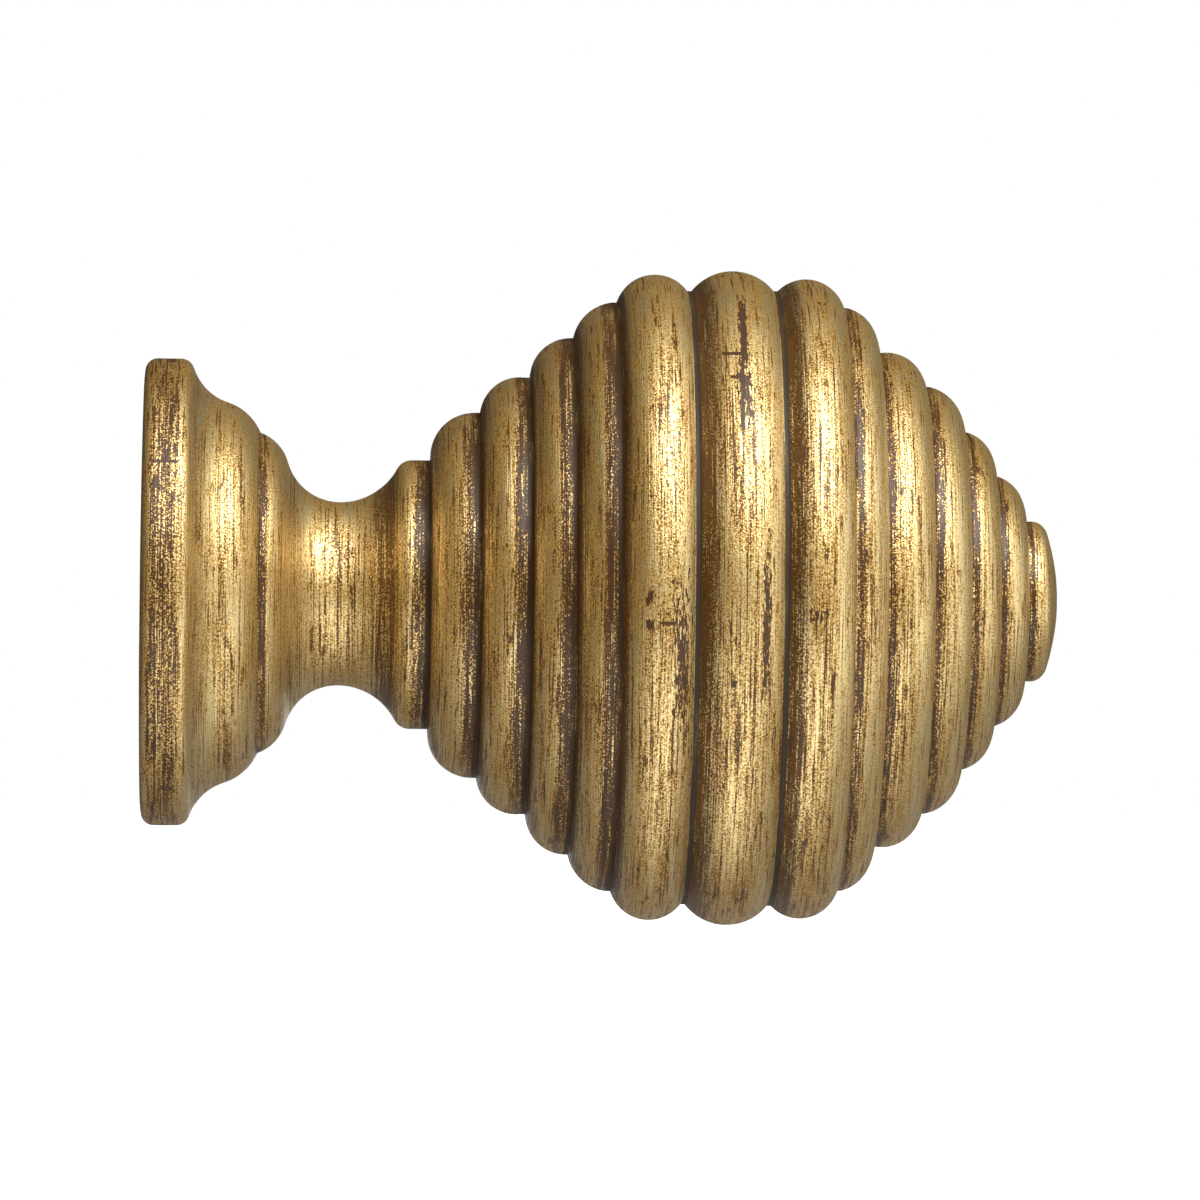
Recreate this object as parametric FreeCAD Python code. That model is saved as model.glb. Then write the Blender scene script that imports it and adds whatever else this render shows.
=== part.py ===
import FreeCAD, Part

import math
import os
from typing import NamedTuple

# Turned wooden finial for the end of a curtain pole. It is one piece of turning: a moulded disc that
# covers the end of the pole, a waisted neck, a collar, a beehive bulb of stacked beads and a button tip.
# The turning axis is X. The face that meets the pole lies at X = 0 and looks along -X, and the tip is at +X.


class Bead(NamedTuple):
    """One rounded ring of the bulb, in proportion to the bulb."""

    parts: float      # of the bulb's length, shared out between the beads
    groove: float     # diameter of the groove after the bead, over the bulb's core
    fullness: float   # rise of the round above the line between its feet, over half that line


# Sizes in millimetres, angles in degrees.

LENGTH = 117.5            # from the pole face to the tip

# Disc that covers the end of the pole
RIM_DIAMETER = 60.0
RIM_FLAT = 3.0            # straight stretch between the two rounded edges of the rim
RIM_BACK_EDGE = 1.6       # radius
RIM_FRONT_EDGE = 1.7      # radius

# Ogee on the front of the disc: a cove that turns over into a round and ends at a quirk
COVE_RADIUS = 6.9
COVE_CENTRE_RISE = 1.0    # height of the cove's centre above the rim
OGEE_SLOPE = 17.6         # fall of the surface where the cove turns over into the round
OGEE_ROUND_RADIUS = 6.8
OGEE_FALL = 9.4           # from the rim down to the quirk, square to the axis

# Neck: a round shoulder, then a hollow that is tighter on the disc's side
SHOULDER_RADIUS = 5.7
NECK_LEAD = 10.25         # along the axis, from the quirk to the narrowest place
NECK_DIAMETER = 23.6
HOLLOW_RADIUS_BELOW = 7.0
HOLLOW_RADIUS_ABOVE = 8.2

# Collar under the bulb
COLLAR_DIAMETER = 34.6
COLLAR_EDGE = 2.2         # radius
COLLAR_FLAT = 2.35

# Bulb, from the collar to the button
BULB_CORE_DIAMETER = 79.1  # at the bottom of the widest groove
GROOVE_FLOOR = 0.6        # flat at the bottom of each groove
BEADS = (
    Bead(parts=57, groove=0.594, fullness=0.44),
    Bead(parts=58, groove=0.710, fullness=0.42),
    Bead(parts=49, groove=0.840, fullness=0.40),
    Bead(parts=49, groove=0.957, fullness=0.33),
    Bead(parts=90, groove=0.997, fullness=0.62),
    Bead(parts=105, groove=1.000, fullness=0.49),
    Bead(parts=84, groove=0.948, fullness=0.59),
    Bead(parts=36.5, groove=0.804, fullness=0.40),
    Bead(parts=58, groove=0.695, fullness=0.43),
    Bead(parts=43, groove=0.549, fullness=0.39),
    Bead(parts=34.5, groove=0.407, fullness=0.40),
    Bead(parts=33.5, groove=0.260, fullness=0.40),
)

# Button at the tip
BUTTON_SIDE = 2.55        # length of its rounded side along the axis
BUTTON_FALL = 1.6         # from the last groove down to the edge of the domed end
BUTTON_FULLNESS = 0.41    # of the rounded side, as on a bead
BUTTON_DOME = 1.35        # height of the domed end

# Blind hole for the screw that joins the finial to the pole
SCREW_HOLE_DIAMETER = 6.0
SCREW_HOLE_DEPTH = 36.0   # from the pole face to the start of the drill point
SCREW_HOLE_DRILL_POINT = 118.0
COUNTERSINK_DIAMETER = 9.0
COUNTERSINK_ANGLE = 90.0

ORIGIN = FreeCAD.Vector(0, 0, 0)
TURNING_AXIS = FreeCAD.Vector(1, 0, 0)


def at(x, r):
    """Point of the section, x along the turning axis and r from it."""
    return FreeCAD.Vector(x, 0, r)


def line(start, end):
    return Part.LineSegment(start, end).toShape()


def arc_about(centre, start, end):
    """Arc from start to end about a centre, the short way round."""
    radius = (start - centre).Length
    middle = (start - centre) + (end - centre)
    return Part.Arc(start, centre + middle.normalize() * radius, end).toShape()


def arc_between(start, end, fullness):
    """Arc from start to end that stands away from the axis by its fullness."""
    half = (end - start) * 0.5
    outward = at(-half.z, half.x)
    return Part.Arc(start, start + half + outward * fullness, end).toShape()


def along(start, end, distance):
    """Point at a distance from start towards end."""
    return start + (end - start).normalize() * distance


def lower_crossing(centre_a, radius_a, centre_b, radius_b):
    """Where two circles of the section cross, on the side nearer the axis."""
    apart = centre_b - centre_a
    reach = (radius_a ** 2 - radius_b ** 2 + apart.Length ** 2) / (2 * apart.Length)
    offset = math.sqrt(radius_a ** 2 - reach ** 2)
    foot = along(centre_a, centre_b, reach)
    sideways = at(-apart.z, apart.x).normalize() * offset
    return min(foot + sideways, foot - sideways, key=lambda crossing: crossing.z)


def disc_section():
    """Pole face, rim and ogee, from the axis to the quirk."""
    rim = RIM_DIAMETER / 2
    back_centre = at(RIM_BACK_EDGE, rim - RIM_BACK_EDGE)
    face_edge = at(0, back_centre.z)
    rim_start = at(back_centre.x, rim)
    rim_end = at(rim_start.x + RIM_FLAT, rim)

    front_centre = at(rim_end.x, rim - RIM_FRONT_EDGE)
    reach = RIM_FRONT_EDGE + COVE_RADIUS
    cove_rise = COVE_CENTRE_RISE + RIM_FRONT_EDGE
    cove_centre = front_centre + at(math.sqrt(reach ** 2 - cove_rise ** 2), cove_rise)
    cove_start = along(front_centre, cove_centre, RIM_FRONT_EDGE)

    slope = math.radians(OGEE_SLOPE)
    downhill = at(-math.sin(slope), -math.cos(slope))
    cove_end = cove_centre + downhill * COVE_RADIUS
    round_centre = cove_end + downhill * OGEE_ROUND_RADIUS
    quirk_height = rim - OGEE_FALL - round_centre.z
    quirk = round_centre + at(math.sqrt(OGEE_ROUND_RADIUS ** 2 - quirk_height ** 2), quirk_height)

    edges = [
        line(ORIGIN, face_edge),
        arc_about(back_centre, face_edge, rim_start),
        line(rim_start, rim_end),
        arc_about(front_centre, rim_end, cove_start),
        arc_about(cove_centre, cove_start, cove_end),
        arc_about(round_centre, cove_end, quirk),
    ]
    return edges, quirk


def neck_section(quirk):
    """Shoulder, hollow neck and collar, from the quirk to the foot of the bulb."""
    waist = at(quirk.x + NECK_LEAD, NECK_DIAMETER / 2)
    below_centre = waist + at(0, HOLLOW_RADIUS_BELOW)
    above_centre = waist + at(0, HOLLOW_RADIUS_ABOVE)

    shoulder_centre = lower_crossing(
        below_centre, HOLLOW_RADIUS_BELOW + SHOULDER_RADIUS, quirk, SHOULDER_RADIUS
    )
    hollow_start = along(below_centre, shoulder_centre, HOLLOW_RADIUS_BELOW)

    collar = COLLAR_DIAMETER / 2
    edge_drop = above_centre.z - (collar - COLLAR_EDGE)
    reach = HOLLOW_RADIUS_ABOVE + COLLAR_EDGE
    edge_centre = above_centre + at(math.sqrt(reach ** 2 - edge_drop ** 2), -edge_drop)
    hollow_end = along(above_centre, edge_centre, HOLLOW_RADIUS_ABOVE)
    collar_start = at(edge_centre.x, collar)
    collar_end = at(collar_start.x + COLLAR_FLAT, collar)

    edges = [
        arc_about(shoulder_centre, quirk, hollow_start),
        arc_about(below_centre, hollow_start, waist),
        arc_about(above_centre, waist, hollow_end),
        arc_about(edge_centre, hollow_end, collar_start),
        line(collar_start, collar_end),
    ]
    return edges, collar_end


def bulb_section(foot):
    """Beads with a flat groove after each, from the collar to the foot of the button."""
    bulb_length = LENGTH - BUTTON_SIDE - BUTTON_DOME - foot.x
    part = (bulb_length - GROOVE_FLOOR * len(BEADS)) / sum(bead.parts for bead in BEADS)
    edges = []
    for bead in BEADS:
        groove_start = at(foot.x + bead.parts * part, bead.groove * BULB_CORE_DIAMETER / 2)
        groove_end = groove_start + at(GROOVE_FLOOR, 0)
        edges.append(arc_between(foot, groove_start, bead.fullness))
        edges.append(line(groove_start, groove_end))
        foot = groove_end
    return edges, foot


def button_section(foot):
    """Rounded side and domed end of the tip, from the last groove to the axis."""
    face_edge = foot + at(BUTTON_SIDE, -BUTTON_FALL)
    tip = at(face_edge.x + BUTTON_DOME, 0)
    dome_radius = (face_edge.z ** 2 + BUTTON_DOME ** 2) / (2 * BUTTON_DOME)
    dome_centre = at(tip.x - dome_radius, 0)
    edges = [
        arc_between(foot, face_edge, BUTTON_FULLNESS),
        arc_about(dome_centre, face_edge, tip),
    ]
    return edges, tip


def revolve(edges):
    """Solid turned from a closed section."""
    return Part.Face(Part.Wire(edges)).revolve(ORIGIN, TURNING_AXIS, 360)


def turned_blank():
    disc, quirk = disc_section()
    neck, bulb_foot = neck_section(quirk)
    bulb, button_foot = bulb_section(bulb_foot)
    button, tip = button_section(button_foot)
    return revolve(disc + neck + bulb + button + [line(tip, ORIGIN)])


def screw_hole():
    """What the drill and the countersink take out of the pole face."""
    wall = SCREW_HOLE_DIAMETER / 2
    mouth = COUNTERSINK_DIAMETER / 2
    countersink_depth = (mouth - wall) / math.tan(math.radians(COUNTERSINK_ANGLE / 2))
    point_length = wall / math.tan(math.radians(SCREW_HOLE_DRILL_POINT / 2))
    corners = [
        ORIGIN,
        at(0, mouth),
        at(countersink_depth, wall),
        at(SCREW_HOLE_DEPTH, wall),
        at(SCREW_HOLE_DEPTH + point_length, 0),
        ORIGIN,
    ]
    return revolve([line(start, end) for start, end in zip(corners, corners[1:])])


def main():
    finial = turned_blank().cut(screw_hole())
    os.makedirs("parts", exist_ok=True)
    finial.exportStep("parts/finial.step")

    box = finial.optimalBoundingBox()
    print(f"finial {box.XLength:.2f} x {box.YLength:.2f} x {box.ZLength:.2f} mm")
    print(f"volume {finial.Volume / 1000:.1f} cm3, valid {finial.isValid()}, solids {len(finial.Solids)}")


main()
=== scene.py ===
"""Gilded beehive finial for a curtain pole: the turning with its worn gilding, and a plain studio."""

import math
from typing import NamedTuple

import bpy
import numpy as np
from bpy.props import FloatProperty, FloatVectorProperty, IntProperty, PointerProperty
from bpy.types import Operator, Panel, PropertyGroup
from mathutils import Euler, Matrix, Vector


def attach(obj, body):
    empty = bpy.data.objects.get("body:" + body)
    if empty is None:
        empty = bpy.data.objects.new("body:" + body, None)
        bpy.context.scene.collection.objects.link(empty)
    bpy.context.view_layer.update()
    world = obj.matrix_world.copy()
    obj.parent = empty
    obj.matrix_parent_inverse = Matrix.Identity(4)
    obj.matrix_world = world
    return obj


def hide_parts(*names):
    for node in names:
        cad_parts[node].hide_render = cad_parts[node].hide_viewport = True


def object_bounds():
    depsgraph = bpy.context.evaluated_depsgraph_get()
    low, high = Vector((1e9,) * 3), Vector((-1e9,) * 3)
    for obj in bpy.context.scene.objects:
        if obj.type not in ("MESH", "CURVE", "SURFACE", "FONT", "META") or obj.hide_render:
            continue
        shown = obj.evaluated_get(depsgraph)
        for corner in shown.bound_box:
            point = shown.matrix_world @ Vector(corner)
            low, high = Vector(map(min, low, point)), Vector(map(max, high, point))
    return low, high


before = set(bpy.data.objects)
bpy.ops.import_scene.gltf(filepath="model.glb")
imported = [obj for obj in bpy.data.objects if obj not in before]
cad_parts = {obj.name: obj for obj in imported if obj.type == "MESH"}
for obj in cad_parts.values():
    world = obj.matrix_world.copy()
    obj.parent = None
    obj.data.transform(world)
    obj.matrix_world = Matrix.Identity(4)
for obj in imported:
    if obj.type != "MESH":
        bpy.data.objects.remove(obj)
CAD_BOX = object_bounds()

bl_info = {
    "name": "Gilded Beehive Finial",
    "version": (1, 0, 0),
    "blender": (4, 5, 0),
    "location": "3D View > Sidebar > Finial",
    "description": "Turned curtain pole finial with worn gilding, on a plain studio floor",
    "category": "Object",
}


class Mark(NamedTuple):
    """A knock or a crack in the gilding, in mm."""

    x: float
    z: float
    width: float
    height: float
    broken: float   # how ragged its edge is


MARKS = (
    Mark(x=75.5, z=33.2, width=1.0, height=9.5, broken=2.0),
    Mark(x=75.6, z=26.0, width=1.4, height=6.0, broken=5.0),
    Mark(x=74.1, z=30.7, width=2.8, height=0.45, broken=1.0),
    Mark(x=75.0, z=27.7, width=2.8, height=0.45, broken=1.0),
    Mark(x=2.9, z=16.4, width=3.6, height=0.4, broken=1.0),
    Mark(x=65.7, z=-3.2, width=2.4, height=0.4, broken=1.0),
    Mark(x=63.5, z=0.0, width=1.2, height=1.7, broken=4.0),
    Mark(x=63.6, z=-3.6, width=1.0, height=1.4, broken=4.0),
    Mark(x=74.1, z=-10.7, width=0.8, height=0.8, broken=1.5),
    Mark(x=84.5, z=-2.0, width=1.8, height=1.5, broken=6.0),
    Mark(x=67.6, z=-7.3, width=1.6, height=14.0, broken=7.0),
    Mark(x=78.1, z=-3.2, width=0.8, height=15.5, broken=4.0),
)

NODE = "finial"
BODY = "root"
MM = 0.001


# Settings

class FinialTurning(PropertyGroup):
    """How finely the turning is drawn, and how far it strays from a perfect one."""

    row_spacing: FloatProperty(
        name="Row spacing", description="Distance between rows of the mesh along the section",
        default=0.40 * MM, subtype="DISTANCE", unit="LENGTH", precision=5,
    )
    rounds: IntProperty(
        name="Points round", description="Points in each row of the mesh", default=192, min=32,
    )
    corner_turn: FloatProperty(
        name="Corner turn", description="A sharper turn of the section than this is a corner",
        default=math.radians(25), subtype="ANGLE", unit="ROTATION",
    )
    waver: FloatProperty(
        name="Waver", description="Depth of the unevenness that sanding by hand leaves",
        default=0.05 * MM, subtype="DISTANCE", unit="LENGTH", precision=5,
    )
    seed: IntProperty(name="Seed", description="Seed of the unevenness", default=7)


class FinialGilding(PropertyGroup):
    """Colours of the gilding and of what shows through it; the glazing and groove colours also serve
    as painted shade.
    """

    gold_light: FloatVectorProperty(
        name="Light gold", description="Gilding where it lies thick", subtype="COLOR",
        default=(0.80, 0.625, 0.30), size=3, min=0, max=1,
    )
    gold_dark: FloatVectorProperty(
        name="Dark gold", description="Gilding where it is thin", subtype="COLOR",
        default=(0.35, 0.183, 0.021), size=3, min=0, max=1,
    )
    # Besides glazing, this colour paints shade on the sides of rounds that face the pole.
    glaze_and_painted_shade: FloatVectorProperty(
        name="Glaze", description="Amber glaze over the gilding", subtype="COLOR",
        default=(0.095, 0.038, 0.005), size=3, min=0, max=1,
    )
    bole: FloatVectorProperty(
        name="Bole", description="Brown ground that shows where the gilding is rubbed away",
        subtype="COLOR", default=(0.048, 0.021, 0.006), size=3, min=0, max=1,
    )
    # Also painted shade: it darkens these groove bottoms and the surface just beside them, as if in
    # shade.
    groove: FloatVectorProperty(
        name="Groove",
        description="Dark bottom of the grooves on the pole's side, which the gilding misses",
        subtype="COLOR", default=(0.030, 0.014, 0.003), size=3, min=0, max=1,
    )
    valley: FloatVectorProperty(
        name="Valley", description="Grey bottom of the grooves between the widest rounds",
        subtype="COLOR", default=(0.032, 0.021, 0.011), size=3, min=0, max=1,
    )
    wood_light: FloatVectorProperty(
        name="Light wood", description="Bare wood of the pole face", subtype="COLOR",
        default=(0.50, 0.33, 0.18), size=3, min=0, max=1,
    )
    wood_dark: FloatVectorProperty(
        name="Dark wood", description="Rings that the tool leaves on the pole face", subtype="COLOR",
        default=(0.36, 0.22, 0.11), size=3, min=0, max=1,
    )
    wear: FloatProperty(
        name="Wear", description="How much of the gilding is rubbed away where it wears",
        subtype="FACTOR", default=1.0, min=0, max=2,
    )


class FinialStudio(PropertyGroup):
    """Camera, floor and lamps."""

    camera_distance: FloatProperty(
        name="Camera distance", description="From the middle of the picture to the camera",
        default=1.1585, subtype="DISTANCE", unit="LENGTH",
    )
    camera_turn: FloatProperty(
        name="Camera turn", description="Turn of the camera from square to the turning axis",
        default=math.radians(-1.91), subtype="ANGLE", unit="ROTATION",
    )
    camera_roll: FloatProperty(
        name="Camera roll", description="Lean of the picture",
        default=math.radians(0.643), subtype="ANGLE", unit="ROTATION",
    )
    camera_lens: FloatProperty(
        name="Lens", description="Focal length",
        default=270.3, subtype="DISTANCE_CAMERA", unit="CAMERA",
    )
    floor_drop: FloatProperty(
        name="Floor drop", description="From the turning axis down to the floor",
        default=0.12, subtype="DISTANCE", unit="LENGTH",
    )


# Section of the turning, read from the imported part

def seam_neighbours(mesh):
    """Points of the mesh straight above the axis, each with the points that an edge joins to it."""
    tolerance = 1e-7
    places = {}
    for vertex in mesh.vertices:
        x, y, z = vertex.co
        if abs(y) < tolerance and z > -tolerance:
            places[vertex.index] = (round(x / MM, 4), round(z / MM, 4))
    neighbours = {place: set() for place in places.values()}
    for edge in mesh.edges:
        ends = [places.get(index) for index in edge.vertices]
        if None not in ends and ends[0] != ends[1]:
            neighbours[ends[0]].add(ends[1])
            neighbours[ends[1]].add(ends[0])
    return neighbours


def walk(neighbours, start):
    """Points from start to the end of its chain."""
    chain = [start]
    seen = {start}
    while True:
        onward = [place for place in neighbours[chain[-1]] if place not in seen]
        if not onward:
            return np.array(chain)
        here = np.array(chain[-1])
        chain.append(min(onward, key=lambda place: np.hypot(*(np.array(place) - here))))
        seen.add(chain[-1])


def section_chains():
    """Outlines in mm: the hole from its mouth inwards, the outside from the pole face to the tip."""
    neighbours = seam_neighbours(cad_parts[NODE].data)
    face = [place for place in neighbours if abs(place[0]) < 1e-3]
    mouth = min(face, key=lambda place: place[1])
    rim = max(face, key=lambda place: place[1])
    hole = walk(neighbours, mouth)
    outside = walk(neighbours, rim)
    tip = CAD_BOX[1][0] / MM
    if abs(outside[-1][0] - tip) > 0.1:
        raise RuntimeError(f"the outline stops at {outside[-1]}, before the tip at {tip:.2f} mm")
    return hole, outside


def smooth_run(points, spacing):
    """Evenly spaced points on the smooth curve through a run of points."""
    chords = np.diff(points, axis=0)
    lengths = np.hypot(*chords.T)
    slopes = chords / lengths[:, None]
    tangents = np.vstack([slopes[:1], slopes])
    if len(points) > 2:
        shares = (lengths[1:] / (lengths[:-1] + lengths[1:]))[:, None]
        tangents[1:-1] = slopes[:-1] * shares + slopes[1:] * (1 - shares)
        tangents[0] = 2 * slopes[0] - tangents[1]
        tangents[-1] = 2 * slopes[-1] - tangents[-2]

    knots = np.concatenate([[0], np.cumsum(lengths)])
    steps = max(1, round(knots[-1] / spacing))
    places = np.linspace(0, knots[-1], steps + 1)
    span = np.clip(np.searchsorted(knots, places) - 1, 0, len(lengths) - 1)
    reach = lengths[span][:, None]
    t = ((places - knots[span]) / lengths[span])[:, None]
    start = points[span] * (1 + 2 * t) * (1 - t) ** 2 + tangents[span] * reach * t * (1 - t) ** 2
    end = points[span + 1] * t ** 2 * (3 - 2 * t) + tangents[span + 1] * reach * t ** 2 * (t - 1)
    return start + end


def split_straights(points):
    """The same outline, with points added on its straight stretches, so that they stay straight."""
    longest_curved_step = 2.0
    straight_parts = 8
    pieces = [points[:1]]
    for start, end in zip(points, points[1:]):
        parts = straight_parts if np.hypot(*(end - start)) > longest_curved_step else 1
        pieces.append(start + (end - start) * (np.arange(1, parts + 1) / parts)[:, None])
    return np.vstack(pieces)


def soft_step(value, low, high):
    """0 below low, 1 above high, and a soft rise between them."""
    t = np.clip((value - low) / (high - low), 0, 1)
    return t * t * (3 - 2 * t)


def corner_indices(points, least_turn):
    """Where the outline turns outwards sharply: the bottoms of the grooves and of the quirk."""
    steps = np.diff(points, axis=0)
    turns = np.diff(np.unwrap(np.arctan2(steps[:, 1], steps[:, 0])))
    return np.nonzero(turns > least_turn)[0] + 1


class Section:
    """Rows of the turning in mm, from the bottom of the hole to the tip, and what the finish needs."""

    def __init__(self, settings):
        hole, outside = section_chains()
        outside = split_straights(outside)
        spacing = settings.row_spacing / MM
        corners = corner_indices(outside, settings.corner_turn)
        ends = [0, *corners, len(outside) - 1]
        runs = [smooth_run(outside[start:end + 1], spacing) for start, end in zip(ends, ends[1:])]
        rows = np.vstack([runs[0]] + [run[1:] for run in runs[1:]])

        hole_spacing, face_spacing = 4.0, 3.0
        walls = [smooth_run(hole[i:i + 2], hole_spacing)[:-1] for i in range(len(hole) - 1)]
        inside = np.vstack([*walls, hole[-1:]])
        face = smooth_run(np.vstack([hole[0], rows[0]]), face_spacing)
        self.bare_rows = len(inside) + len(face) - 2
        self.rows = np.vstack([inside[::-1], face[1:-1], rows])
        self.corners = outside[corners]
        self.measure()

    def measure(self):
        """Distance along the section, outward direction and distance to the grooves, for each row."""
        steps = np.diff(self.rows, axis=0)
        lengths = np.hypot(*steps.T)
        self.run = np.concatenate([[0], np.cumsum(lengths)]) - lengths[:self.bare_rows].sum()
        tangents = np.gradient(self.rows, axis=0)
        tangents /= np.hypot(*tangents.T)[:, None]
        self.normals = np.stack([-tangents[:, 1], tangents[:, 0]], axis=1)
        feet, valleys, ledges = self.grooves([self.run_at(corner) for corner in self.corners])
        self.foot_gap = self.gap_to(feet)
        self.valley_gap = self.gap_to(valleys)
        self.ledge_gap = self.gap_to(ledges)

    def run_at(self, point):
        """Distance along the section to the row nearest to a point."""
        return self.run[np.argmin(np.hypot(*(self.rows - point).T))]

    def gap_to(self, spans):
        """Distance from each row to the nearest of some spans, in mm along the section."""
        gaps = [np.maximum(start - self.run, self.run - end) for start, end in spans]
        return np.maximum(np.min(gaps, axis=0), 0)

    def grooves(self, corner_runs):
        """Spans of the groove floors: facing the pole, between two rounds, and facing the tip."""
        look = 0.3         # to each side of a corner, where its two flanks are judged
        floor = 0.6        # width of a floor
        pair_reach = 1.0   # two corners nearer than this bound one floor
        feet = []
        valleys = []
        ledges = []
        for place in corner_runs:
            before, after = np.interp([place - look, place + look], self.run, self.normals[:, 0])
            paired = any(0 < abs(place - other) < pair_reach for other in corner_runs)
            if abs(before) > abs(after):
                ledges += [] if paired else [(place, place + floor)]
            elif paired:
                valleys.append((place - floor, place))
            else:
                feet.append((place - floor, place))
        return feet, valleys, ledges

    def rubbed(self):
        """Where the gilding is rubbed through: on the rim, and on rounds beside a groove."""
        outward = self.normals[:, 1]
        beside_foot = 1 - soft_step(self.foot_gap, 0.9, 2.0)
        on_rim = soft_step(self.run, 1.2, 2.2) * (1 - soft_step(self.run, 5.2, 5.9))
        worn = soft_step(outward, 0.75, 0.97) * np.maximum(beside_foot, 0.65 * on_rim)
        return np.maximum(worn, self.on_ledge())

    def on_ledge(self):
        """1 on a groove floor that faces the tip, fading over the next 0.8 mm."""
        return 1 - soft_step(self.ledge_gap, 0.1, 0.8)

    def fullness_and_painted_light(self):
        """How full the gilding lies: thin at the grooves, and fuller and lighter on a side that faces
        the tip, which is painted light.
        """
        along, outward = self.normals.T
        beside_foot = (1 - soft_step(self.foot_gap, 0.9, 1.8)) * soft_step(outward, 0.75, 0.97)
        return soft_step(along, 0.3, 0.7) - 0.7 * self.on_ledge() - 0.6 * beside_foot

    def glaze_and_painted_shade(self):
        """How much brown glazing stays in hollows, and painted shade on the sides of rounds that face
        the pole, darkest beside a groove.
        """
        angle = np.unwrap(np.arctan2(self.normals[:, 1], self.normals[:, 0]))
        bend = np.gradient(angle, self.run)
        along = self.normals[:, 0]
        hollow = soft_step(bend, 0.03, 0.12) * np.maximum(
            0.65 * soft_step(-along, 0.40, 0.62), 0.35 * soft_step(along, 0.55, 0.85)
        )
        # Painted shade, together with the glazing, on sides that face the pole beside a groove.
        beside_groove = np.maximum(
            0.85 * (1 - soft_step(self.foot_gap, 0.6, 2.4)), 1 - soft_step(self.valley_gap, 1.0, 4.2)
        )
        foot_and_painted_shade = beside_groove * soft_step(-along, 0.1, 0.45)
        # Painted shade on every steep side that faces the pole.
        painted_shade_facing_pole = 0.35 * soft_step(-along, 0.6, 0.9)
        return np.maximum(hollow, foot_and_painted_shade) + painted_shade_facing_pole


# The turning

def waver(settings, section, angles):
    """Long shallow waves round and along the work, in mm, all of them below the true surface."""
    least_depth = 0.05   # over the depth of the waves, so that no point stands out of the true surface
    draw = np.random.default_rng(settings.seed)
    height = np.zeros((len(section.rows), len(angles)))
    for turns_round in (2, 3, 5, 8, 13):
        wave_length = draw.uniform(6.0, 18.0)
        phase = draw.uniform(0, 2 * math.pi)
        lean = 2 * math.pi * section.run / wave_length + phase
        sway = 2.0 * np.sin(lean)[:, None]
        height += np.sin(turns_round * angles[None, :] + sway) / turns_round ** 0.5
    height = (height - height.max()) / np.ptp(height) - least_depth
    height[:section.bare_rows] = 0
    return height * settings.waver / MM


def turning_points(settings, section):
    """Grid of points in m, a row for each row of the section."""
    angles = np.arange(settings.rounds) * 2 * math.pi / settings.rounds
    height = waver(settings, section, angles)
    x = section.rows[:, :1] + section.normals[:, :1] * height
    r = section.rows[:, 1:] + section.normals[:, 1:] * height
    grid = np.stack([np.broadcast_to(x, r.shape), r * np.cos(angles), r * np.sin(angles)], axis=2)
    return grid * MM


def turning_mesh(settings, section):
    """Closed mesh of the turning, row by row, with a single point at each end."""
    grid = turning_points(settings, section)[1:-1]
    rows, rounds = grid.shape[:2]
    ends = np.array([[section.rows[0][0], 0, 0], [section.rows[-1][0], 0, 0]]) * MM
    points = np.vstack([grid.reshape(-1, 3), ends])
    first_end, last_end = rows * rounds, rows * rounds + 1

    index = np.arange(rows * rounds).reshape(rows, rounds)
    onward = np.roll(index, -1, axis=1)
    quads = np.stack([index[:-1], onward[:-1], onward[1:], index[1:]], axis=2).reshape(-1, 4)
    faces = quads.tolist()
    faces += [[first_end, b, a] for a, b in zip(index[0], onward[0])]
    faces += [[last_end, a, b] for a, b in zip(index[-1], onward[-1])]

    mesh = bpy.data.meshes.new(NODE)
    mesh.from_pydata(points.tolist(), [], faces)
    mesh.validate()
    mesh.polygons.foreach_set("use_smooth", np.ones(len(mesh.polygons), dtype=bool))
    paint_rows(mesh, "run", section.run, rounds)
    paint_rows(mesh, "foot_gap", section.foot_gap, rounds)
    paint_rows(mesh, "valley_gap", section.valley_gap, rounds)
    paint_rows(mesh, "rubbed", section.rubbed(), rounds)
    paint_rows(mesh, "fullness_and_painted_light", section.fullness_and_painted_light(), rounds)
    paint_rows(mesh, "glaze_and_painted_shade", section.glaze_and_painted_shade(), rounds)
    bare = (np.arange(len(section.rows)) < section.bare_rows).astype(float)
    paint_rows(mesh, "bare", bare, rounds)
    unwrap(mesh, section, rounds)
    return mesh


def paint_rows(mesh, name, values, rounds):
    """Stores one value for each row of the turning as a point attribute."""
    spread = np.concatenate([np.repeat(values[1:-1], rounds), [values[0], values[-1]]])
    attribute = mesh.attributes.new(name, "FLOAT", "POINT")
    attribute.data.foreach_set("value", spread.astype(np.float32))


def unwrap(mesh, section, rounds):
    """Rolls the surface out flat: round the work across, along the section upwards."""
    layer = mesh.uv_layers.new(name="OFBake")
    upwards = (section.run - section.run[0]) / np.ptp(section.run)
    upwards = np.concatenate([np.repeat(upwards[1:-1], rounds), [upwards[0], upwards[-1]]])
    around = np.tile(np.arange(rounds) / rounds, len(section.rows) - 2)
    around = np.concatenate([around, [0, 0]])
    last_end = len(around) - 1
    for polygon in mesh.polygons:
        corners = list(zip(polygon.loop_indices, polygon.vertices))
        across = [around[vertex] for _, vertex in corners]
        wraps = max(across) > 0.75 and min(across) < 0.25
        for (loop, vertex), u in zip(corners, across):
            if vertex >= last_end - 1:
                sides = [around[other] for _, other in corners if other < last_end - 1]
                sides = [side + 1 if wraps_pair(sides) and side < 0.5 else side for side in sides]
                u = sum(sides) / len(sides)
            elif wraps and u < 0.25:
                u += 1
            layer.data[loop].uv = (u, upwards[vertex])


def wraps_pair(sides):
    """Whether two places lie on either side of the seam."""
    return max(sides) - min(sides) > 0.5


# Gilding

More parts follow.
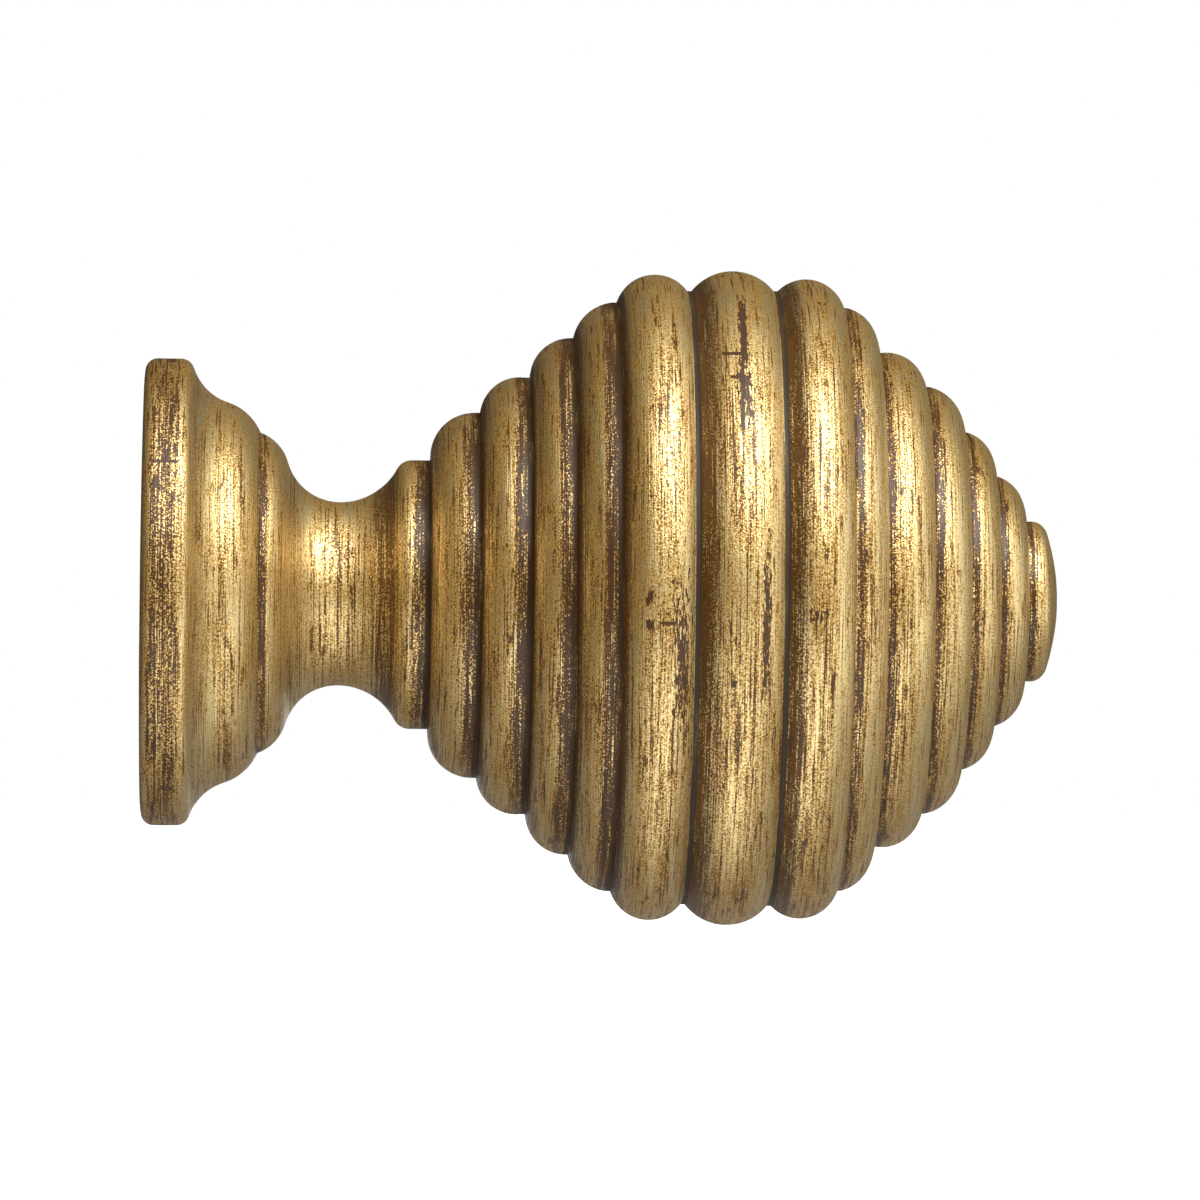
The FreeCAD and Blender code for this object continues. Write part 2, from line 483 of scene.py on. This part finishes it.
class Graph:
    """Adds nodes to a node tree. A value is a number, a colour or another node's output."""

    def __init__(self, tree):
        self.tree = tree

    def add(self, kind, values=None, **settings):
        node = self.tree.nodes.new(kind)
        for name, setting in settings.items():
            setattr(node, name, setting)
        for socket, value in (values or {}).items():
            self.feed(node.inputs[socket], value)
        return node

    def feed(self, socket, value):
        if isinstance(value, bpy.types.NodeSocket):
            self.tree.links.new(value, socket)
        else:
            socket.default_value = value

    def math(self, operation, first, second=0.0):
        return self.add("ShaderNodeMath", {0: first, 1: second}, operation=operation).outputs[0]

    def total(self, *terms):
        """Sum of (weight, value) terms."""
        result = 0.0
        for weight, value in terms:
            result = self.add(
                "ShaderNodeMath", {0: value, 1: weight, 2: result}, operation="MULTIPLY_ADD"
            ).outputs[0]
        return result

    def rest_of(self, share):
        """What a share leaves of 1."""
        return self.math("SUBTRACT", 1.0, share)

    def step(self, value, low, high):
        """0 below low, 1 above high, and a soft rise between them."""
        values = {"Value": value, "From Min": low, "From Max": high}
        return self.add("ShaderNodeMapRange", values, interpolation_type="SMOOTHSTEP").outputs[0]

    def mix(self, share, first, second):
        return self.add("ShaderNodeMix", {0: share, 6: first, 7: second}, data_type="RGBA").outputs[2]

    def mix_value(self, share, first, second):
        return self.add("ShaderNodeMix", {0: share, 2: first, 3: second}).outputs[0]

    def attribute(self, name):
        return self.add("ShaderNodeAttribute", attribute_name=name).outputs["Fac"]

    def noise(self, place, size, detail=2.0, roughness=0.5):
        """Noise of the given size in mm along each direction of place."""
        scale = tuple(1 / side for side in size)
        stretched = self.add("ShaderNodeVectorMath", {0: place, 1: scale}, operation="MULTIPLY")
        vector = stretched.outputs[0]
        values = {"Vector": vector, "Scale": 1.0, "Detail": detail, "Roughness": roughness}
        return self.add("ShaderNodeTexNoise", values).outputs["Fac"]


def lathe_place(graph):
    """Place on the work in mm: along the section, then across the axis both ways."""
    spot = graph.add("ShaderNodeTexCoord").outputs["Object"]
    spot = graph.add("ShaderNodeVectorMath", {0: spot, "Scale": 1 / MM}, operation="SCALE").outputs[0]
    parts = graph.add("ShaderNodeSeparateXYZ", {0: spot}).outputs
    run = graph.attribute("run")
    return graph.add("ShaderNodeCombineXYZ", {0: run, 1: parts[1], 2: parts[2]}).outputs[0]


def streak(graph, place, width, length, detail=2.0, roughness=0.5):
    """Noise drawn out round the work, as a tool or a brush leaves it while the work turns."""
    return graph.noise(place, (width, length, length), detail, roughness)


def colour(value):
    return (*value, 1.0)


def marks(graph, rough):
    """Knocks and cracks on the side that faces the camera, with a rough edge."""
    spot = graph.add("ShaderNodeTexCoord").outputs["Object"]
    parts = graph.add("ShaderNodeSeparateXYZ", {0: spot}).outputs
    marked = 0.0
    for mark in MARKS:
        across = graph.math("SUBTRACT", parts[0], mark.x * MM)
        across = graph.math("DIVIDE", graph.math("ABSOLUTE", across), mark.width / 2 * MM)
        upright = graph.math("SUBTRACT", parts[2], mark.z * MM)
        upright = graph.math("DIVIDE", graph.math("ABSOLUTE", upright), mark.height / 2 * MM)
        reach = graph.total((1.0, graph.math("MAXIMUM", across, upright)), (mark.broken, rough))
        ragged = mark.broken / 2
        inside = graph.rest_of(graph.step(reach, 0.7 + ragged, 1.1 + ragged))
        marked = graph.math("MAXIMUM", marked, inside)
    return graph.math("MULTIPLY", marked, graph.math("LESS_THAN", parts[1], 0.0))


def gilding_material(gilding):
    """Gold leaf laid in streaks over a brown ground, with glazing, worn edges and dark grooves,
    painted light on the sides that face the tip and painted shade on those that face the pole.
    """
    material = bpy.data.materials.new("worn_gilding")
    material.use_nodes = True
    graph = Graph(material.node_tree)
    shader = material.node_tree.nodes["Principled BSDF"]

    place = lathe_place(graph)
    lines = streak(graph, place, 0.17, 14.0, 2.0, 0.6)
    strokes = streak(graph, place, 0.36, 7.0, 1.0)
    scratches = streak(graph, place, 0.20, 8.0, 0.0)
    dashes = streak(graph, place, 0.25, 1.2, 2.0, 0.6)
    brush = streak(graph, place, 0.9, 10.0, 2.0)
    patches = streak(graph, place, 3.0, 11.0, 2.0)
    blotches = streak(graph, place, 0.9, 4.0, 3.0)
    cuts = streak(graph, place, 0.45, 26.0, 1.0)
    grain = graph.noise(place, (0.24, 0.24, 0.24), 1.0)

    # How thick the leaf lies: about 0 on the whole, 2 and more where it is full, -2 where it is gone
    leaf = graph.total(
        (6.5, lines), (3.5, strokes), (2.0, dashes), (8.5, grain), (2.5, brush), (2.0, patches)
    )
    leaf = graph.total((1.0, leaf), (-12.5, 1.0), (-2.2, graph.step(scratches, 0.66, 0.74)))
    leaf = graph.total(
        (1.0, leaf), (-1.8, graph.step(blotches, 0.60, 0.70)), (-1.8, graph.step(cuts, 0.64, 0.72))
    )
    worn_patches = graph.step(patches, 0.38, 0.62)
    uneven_wear = graph.total((gilding.wear, worn_patches), (0.45 * gilding.wear, 1.0))
    rubbed = graph.math("MULTIPLY", graph.attribute("rubbed"), uneven_wear)
    leaf = graph.math("MULTIPLY", leaf, graph.total((0.8, rubbed), (1.0, 1.0)))
    # Painted light: this attribute gives the sides that face the tip fuller, lighter gold.
    leaf = graph.total((1.0, leaf), (-2.2, rubbed), (0.9, graph.attribute("fullness_and_painted_light")))
    leaf = graph.total((1.0, leaf), (-4.0, marks(graph, dashes)))

    full = graph.step(leaf, -1.1, 1.9)
    gold = graph.mix(full, colour(gilding.gold_dark), colour(gilding.gold_light))
    toned = graph.mix(graph.step(leaf, -1.9, -0.8), colour(gilding.glaze_and_painted_shade), gold)
    # Glazing, and painted shade on the sides that face the pole.
    glaze_and_shade_cover = graph.step(graph.total((1.0, graph.attribute("glaze_and_painted_shade")), (-0.35, leaf)), 0.15, 0.85)
    toned = graph.mix(glaze_and_shade_cover, toned, colour(gilding.glaze_and_painted_shade))
    ground = graph.mix(graph.step(leaf, -2.3, -1.85), colour(gilding.bole), toned)

    uneven = graph.total((0.6, brush), (-0.3, 1.0))
    # Groove bottoms facing the pole: dark ungilded paint, with painted shade just beside them.
    foot_and_painted_shade = graph.math("ADD", graph.attribute("foot_gap"), uneven)
    foot_and_painted_shade = graph.rest_of(graph.step(foot_and_painted_shade, -0.05, 0.50))
    valley = graph.total((1.0, graph.attribute("valley_gap")), (0.3, uneven))
    valley = graph.rest_of(graph.step(valley, 0.0, 0.2))
    painted = graph.mix(foot_and_painted_shade, ground, colour(gilding.groove))
    painted = graph.mix(valley, painted, colour(gilding.valley))
    bare = graph.step(graph.attribute("bare"), 0.02, 0.08)
    rings = graph.step(lines, 0.35, 0.65)
    wood = graph.mix(rings, colour(gilding.wood_dark), colour(gilding.wood_light))
    graph.feed(shader.inputs["Base Color"], graph.mix(bare, painted, wood))

    ungilded = graph.math("MAXIMUM", graph.math("MAXIMUM", foot_and_painted_shade, valley), bare)
    gilded = graph.math("MULTIPLY", graph.step(leaf, -1.4, 0.6), graph.rest_of(ungilded))
    graph.feed(shader.inputs["Metallic"], gilded)
    graph.feed(shader.inputs["Roughness"], graph.total((0.2, grain), (0.34, 1.0), (0.35, bare)))
    shader.inputs["Specular IOR Level"].default_value = 0.1
    graph.feed(shader.inputs["Coat Weight"], graph.total((0.46, 1.0), (-0.38, ungilded)))
    shader.inputs["Coat Roughness"].default_value = 0.3

    relief = graph.total((0.5, lines), (0.2, strokes), (0.4, grain), (0.1, gilded))
    bump = graph.add("ShaderNodeBump", {"Strength": 0.6, "Distance": 0.15 * MM, "Height": relief})
    graph.feed(shader.inputs["Normal"], bump.outputs[0])
    graph.feed(shader.inputs["Coat Normal"], bump.outputs[0])
    return material


class FINIAL_OT_turning(Operator):
    """Turn the finial and gild it"""

    bl_idname = "finial.turning"
    bl_label = "Gilded Turning"

    def execute(self, context):
        settings = context.scene.finial_turning
        section = Section(settings)
        mesh = turning_mesh(settings, section)
        mesh.materials.append(gilding_material(context.scene.finial_gilding))
        finial = bpy.data.objects.new("gilded_finial", mesh)
        context.scene.collection.objects.link(finial)
        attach(finial, BODY)
        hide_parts(NODE)
        return {"FINISHED"}


# Studio

class Softbox(NamedTuple):
    """A square lamp that looks at the middle of the object."""

    name: str
    power: float      # W
    side: float       # m
    turn: float       # degrees round the object, from the camera's side towards the tip
    rise: float       # degrees above level
    distance: float   # m


class Cloth(NamedTuple):
    """A dark cloth on an arc round the object."""

    name: str
    profile: tuple    # of (distance from the middle, height above the floor), m
    turns: tuple      # from one end of the arc to the other, degrees as for a lamp
    grey: float = 0.03


STAGE_MIDDLE = 0.06     # along the turning axis, m
AMBIENT = 0.52          # light of the room, against 1 for white
PICTURE_MIDDLE = Vector((58.68, 0, -0.42)) * MM

SOFTBOXES = (
    Softbox("key", power=13.5, side=1.1, turn=14.0, rise=53.0, distance=1.0),
    Softbox("glint", power=5.5, side=0.5, turn=38.0, rise=48.0, distance=1.0),
)

# The front cloth ends below the lamps, and the one behind leaves a low slit above the floor.
WALL = ((0.45, 0.002), (0.45, 0.6), (0.3, 0.9))
BELOW_LAMPS = ((0.45, 0.002), (0.45, 0.34))
ABOVE_SLIT = ((0.45, 0.15), (0.45, 0.6), (0.3, 0.9))
ON_FLOOR = ((0.0, 0.002), (0.45, 0.002))
BEHIND_SLIT = ((0.45, 0.002), (0.9, 0.002))
OVERHEAD = ((0.0, 0.92), (0.2, 0.92))
CLOTHS = (
    Cloth("front_flag", BELOW_LAMPS, (42.0, -25.0)),
    Cloth("left_flag", WALL, (-25.0, -165.0)),
    Cloth("back_flag", ABOVE_SLIT, (-165.0, -195.0)),
    Cloth("right_flag", WALL, (-195.0, -256.0)),
    Cloth("floor_flag", ON_FLOOR, (-40.0, -310.0), grey=0.22),
    Cloth("slit_flag", BEHIND_SLIT, (-165.0, -195.0), grey=0.10),
    Cloth("top_flag", OVERHEAD, (0.0, 360.0)),
)


def seen_directly(graph):
    """1 for rays from the camera, from gloss and through glass, 0 for the rest."""
    path = graph.add("ShaderNodeLightPath").outputs
    seen = graph.math("MAXIMUM", path["Is Camera Ray"], path["Is Glossy Ray"])
    return graph.math("MAXIMUM", seen, path["Is Transmission Ray"])


def white_world(scene):
    """White to the camera and to gloss, and a softer light on everything."""
    world = bpy.data.worlds.new("studio")
    world.use_nodes = True
    graph = Graph(world.node_tree)
    background = world.node_tree.nodes["Background"]
    background.inputs["Color"].default_value = (1, 1, 1, 1)
    graph.feed(background.inputs["Strength"], graph.mix_value(seen_directly(graph), AMBIENT, 1.0))
    scene.world = world


def add_floor(scene, drop):
    """Wide pale floor that fades to white away from the object and keeps its shadow."""
    reach = 4.0
    glow_start, glow_end = 0.15, 0.50   # distance from the middle over which the floor turns white
    middle_glow = 0.45
    mesh = bpy.data.meshes.new("floor")
    corners = [(-reach, -reach, 0), (reach, -reach, 0), (reach, reach, 0), (-reach, reach, 0)]
    mesh.from_pydata(corners, [], [(0, 1, 2, 3)])
    floor = bpy.data.objects.new("floor", mesh)
    floor.location = (STAGE_MIDDLE, 0, -drop)
    scene.collection.objects.link(floor)

    material = bpy.data.materials.new("pale_floor")
    material.use_nodes = True
    graph = Graph(material.node_tree)
    shader = material.node_tree.nodes["Principled BSDF"]
    shader.inputs["Base Color"].default_value = (0.8, 0.8, 0.8, 1)
    shader.inputs["Roughness"].default_value = 0.9
    spot = graph.add("ShaderNodeTexCoord").outputs["Object"]
    away = graph.add("ShaderNodeVectorMath", {0: spot}, operation="LENGTH").outputs["Value"]
    glow = graph.mix_value(graph.step(away, glow_start, glow_end), middle_glow, 1.0)
    shader.inputs["Emission Color"].default_value = (1, 1, 1, 1)
    graph.feed(shader.inputs["Emission Strength"], graph.math("MULTIPLY", glow, seen_directly(graph)))
    mesh.materials.append(material)


def add_softbox(scene, softbox):
    lamp = bpy.data.lights.new(softbox.name, "AREA")
    lamp.energy = softbox.power
    lamp.size = softbox.side
    middle = (Vector(CAD_BOX[0]) + Vector(CAD_BOX[1])) / 2
    aim = Euler((math.radians(90 - softbox.rise), 0, math.radians(softbox.turn)))
    lamp_object = bpy.data.objects.new(softbox.name, lamp)
    lamp_object.rotation_euler = aim
    lamp_object.location = middle + aim.to_matrix() @ Vector((0, 0, softbox.distance))
    scene.collection.objects.link(lamp_object)


def cloth_mesh(cloth):
    """The cloth's profile, swept along its arc."""
    parts = 24
    points = []
    for turn in np.radians(np.linspace(*cloth.turns, parts + 1)):
        for reach, height in cloth.profile:
            points.append((reach * math.sin(turn), -reach * math.cos(turn), height))
    index = np.arange(len(points)).reshape(parts + 1, -1)
    quads = np.stack([index[:-1, :-1], index[1:, :-1], index[1:, 1:], index[:-1, 1:]], axis=2)
    mesh = bpy.data.meshes.new(cloth.name)
    mesh.from_pydata(points, [], quads.reshape(-1, 4).tolist())
    return mesh


def add_flag(scene, cloth, drop):
    """Hangs a dark cloth that only the object's gloss sees: it shapes the reflections."""
    mesh = cloth_mesh(cloth)
    flag = bpy.data.objects.new(cloth.name, mesh)
    flag.location = (STAGE_MIDDLE, 0, -drop)
    flag.visible_camera = False
    flag.visible_diffuse = False
    flag.visible_shadow = False
    scene.collection.objects.link(flag)
    material = bpy.data.materials.new(cloth.name)
    material.use_nodes = True
    shader = material.node_tree.nodes["Principled BSDF"]
    shader.inputs["Base Color"].default_value = (cloth.grey, cloth.grey, cloth.grey, 1)
    shader.inputs["Roughness"].default_value = 1.0
    shader.inputs["Specular IOR Level"].default_value = 0.0
    mesh.materials.append(material)


def add_camera(scene, studio):
    camera = bpy.data.cameras.new("camera")
    camera.lens = studio.camera_lens
    camera.sensor_width = 36
    upright = Euler((math.radians(90), 0, studio.camera_turn)).to_matrix()
    turned = upright @ Matrix.Rotation(studio.camera_roll, 3, "Z")
    holder = bpy.data.objects.new("camera", camera)
    place = PICTURE_MIDDLE + upright @ Vector((0, 0, studio.camera_distance))
    holder.matrix_world = Matrix.Translation(place) @ turned.to_4x4()
    scene.collection.objects.link(holder)
    scene.camera = holder


class FINIAL_OT_studio(Operator):
    """Set up the floor, the lamps, the dark cloths and the camera"""

    bl_idname = "finial.studio"
    bl_label = "Studio"

    def execute(self, context):
        scene = context.scene
        studio = scene.finial_studio
        scene.view_settings.view_transform = "Standard"
        white_world(scene)
        add_floor(scene, studio.floor_drop)
        for softbox in SOFTBOXES:
            add_softbox(scene, softbox)
        for cloth in CLOTHS:
            add_flag(scene, cloth, studio.floor_drop)
        add_camera(scene, studio)
        return {"FINISHED"}


# Panel and registration

class FINIAL_PT_sidebar(Panel):
    bl_label = "Gilded Finial"
    bl_idname = "FINIAL_PT_sidebar"
    bl_space_type = "VIEW_3D"
    bl_region_type = "UI"
    bl_category = "Finial"

    def draw(self, context):
        layout = self.layout
        scene = context.scene
        for group in (scene.finial_turning, scene.finial_gilding, scene.finial_studio):
            box = layout.box()
            for name in group.__annotations__:
                box.prop(group, name)
        layout.operator(FINIAL_OT_turning.bl_idname)
        layout.operator(FINIAL_OT_studio.bl_idname)


CLASSES = (
    FinialTurning, FinialGilding, FinialStudio, FINIAL_OT_turning, FINIAL_OT_studio, FINIAL_PT_sidebar,
)


def register():
    for cls in CLASSES:
        bpy.utils.register_class(cls)
    bpy.types.Scene.finial_turning = PointerProperty(type=FinialTurning)
    bpy.types.Scene.finial_gilding = PointerProperty(type=FinialGilding)
    bpy.types.Scene.finial_studio = PointerProperty(type=FinialStudio)


def unregister():
    del bpy.types.Scene.finial_studio
    del bpy.types.Scene.finial_gilding
    del bpy.types.Scene.finial_turning
    for cls in reversed(CLASSES):
        bpy.utils.unregister_class(cls)


def main():
    register()
    bpy.ops.finial.turning()
    bpy.ops.finial.studio()


if __name__ == "__main__":
    main()
